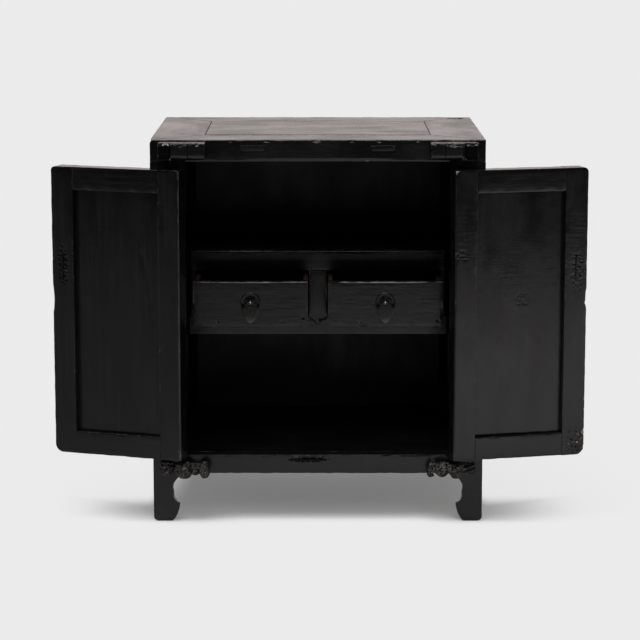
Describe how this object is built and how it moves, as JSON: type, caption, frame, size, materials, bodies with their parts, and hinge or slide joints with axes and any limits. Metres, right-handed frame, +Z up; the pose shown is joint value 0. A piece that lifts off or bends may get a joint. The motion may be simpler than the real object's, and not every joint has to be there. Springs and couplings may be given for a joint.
{
  "type": "storage chest",
  "caption": "Low black lacquer cabinet chest on hoof feet, with framed doors on wooden pivots, carved hinge blocks and a bank of inner drawers with leaf pulls.",
  "frame": {"origin": "on the floor, under the middle of the box that holds the chest as pictured, with its doors open and its drawers part way out", "axes": "+Z up, +Y from the doors to the back, +X to the right as seen from the front"},
  "size_m": [0.9803, 0.5352, 0.712],
  "materials": {
    "black_lacquer": "worn black lacquer over close-grained wood, rubbed at the edges",
    "bare_wood": "dry red-brown wood without lacquer",
    "dark_metal": "dark patina, rubbed smooth"
  },
  "bodies": {
    "case": {"top_front_rail": "black_lacquer", "top_right_rail": "black_lacquer", "top_back_rail": "black_lacquer", "top_left_rail": "black_lacquer", "top_panel": "black_lacquer", "top_battens": "black_lacquer", "left_front_post": "black_lacquer", "right_front_post": "black_lacquer", "left_back_post": "black_lacquer", "right_back_post": "black_lacquer", "bottom_front_rail": "black_lacquer", "bottom_back_rail": "black_lacquer", "bottom_side_rails": "black_lacquer", "left_side_wall": "black_lacquer", "right_side_wall": "black_lacquer", "back_wall": "black_lacquer", "floor_panel": "black_lacquer", "floor_battens": "black_lacquer", "bank_low_rail": "black_lacquer", "bank_top_rail": "black_lacquer", "bank_divider": "black_lacquer", "bank_end_boards": "black_lacquer", "bank_bearers": "black_lacquer", "drawer_deck": "black_lacquer", "drawer_guide": "bare_wood", "shelf_board": "black_lacquer", "left_upper_hinge_block": "black_lacquer", "right_upper_hinge_block": "black_lacquer", "left_lower_hinge_block": "black_lacquer", "right_lower_hinge_block": "black_lacquer"},
    "left_door": {"left_door_hinge_stile": "black_lacquer", "left_door_meeting_stile": "black_lacquer", "left_door_top_rail": "black_lacquer", "left_door_low_rail": "black_lacquer", "left_door_panel": "black_lacquer", "left_door_pull_plate": "dark_metal", "left_door_pull_pin": "dark_metal"},
    "left_drawer": {"left_drawer_front": "black_lacquer", "left_drawer_sides": "bare_wood", "left_drawer_rear": "bare_wood", "left_drawer_bottom": "bare_wood", "left_drawer_pull_plate": "dark_metal", "left_drawer_pull_pin": "dark_metal"},
    "left_door_leaf": {"left_door_pull_leaf": "dark_metal"},
    "left_drawer_leaf": {"left_drawer_pull_leaf": "dark_metal"},
    "right_door": {"right_door_hinge_stile": "black_lacquer", "right_door_meeting_stile": "black_lacquer", "right_door_top_rail": "black_lacquer", "right_door_low_rail": "black_lacquer", "right_door_panel": "black_lacquer", "right_door_pull_plate": "dark_metal", "right_door_pull_pin": "dark_metal"},
    "right_drawer": {"right_drawer_front": "black_lacquer", "right_drawer_sides": "bare_wood", "right_drawer_rear": "bare_wood", "right_drawer_bottom": "bare_wood", "right_drawer_pull_plate": "dark_metal", "right_drawer_pull_pin": "dark_metal"},
    "right_door_leaf": {"right_door_pull_leaf": "dark_metal"},
    "right_drawer_leaf": {"right_drawer_pull_leaf": "dark_metal"}
  },
  "joints": [
    {"name": "left_door_hinge", "type": "hinge", "parent": "case", "child": "left_door", "pos_m": [-0.247, -0.2409, 0.394], "axis": [0, 0, 1], "range_deg": [0, 199.5]},
    {"name": "left_drawer_slide", "type": "slide", "parent": "case", "child": "left_drawer", "axis": [0, 1, 0], "range_m": [-0.045, 0.127]},
    {"name": "left_door_leaf_hinge", "type": "hinge", "parent": "left_door", "child": "left_door_leaf", "pos_m": [-0.45527, -0.15291, 0.477], "axis": [0.9426, -0.3339, 0], "range_deg": [-6, 150]},
    {"name": "left_drawer_leaf_hinge", "type": "hinge", "parent": "left_drawer", "child": "left_drawer_leaf", "pos_m": [-0.12635, -0.124, 0.39755], "axis": [-1, 0, 0], "range_deg": [-6, 150]},
    {"name": "right_door_hinge", "type": "hinge", "parent": "case", "child": "right_door", "pos_m": [0.247, -0.2409, 0.394], "axis": [0, 0, -1], "range_deg": [-5.5, 194]},
    {"name": "right_drawer_slide", "type": "slide", "parent": "case", "child": "right_drawer", "axis": [0, 1, 0], "range_m": [-0.045, 0.127]},
    {"name": "right_door_leaf_hinge", "type": "hinge", "parent": "right_door", "child": "right_door_leaf", "pos_m": [0.46275, -0.17328, 0.477], "axis": [0.9703, 0.242, 0], "range_deg": [-6, 150]},
    {"name": "right_drawer_leaf_hinge", "type": "hinge", "parent": "right_drawer", "child": "right_drawer_leaf", "pos_m": [0.12635, -0.124, 0.39755], "axis": [-1, 0, 0], "range_deg": [-6, 150]}
  ]
}
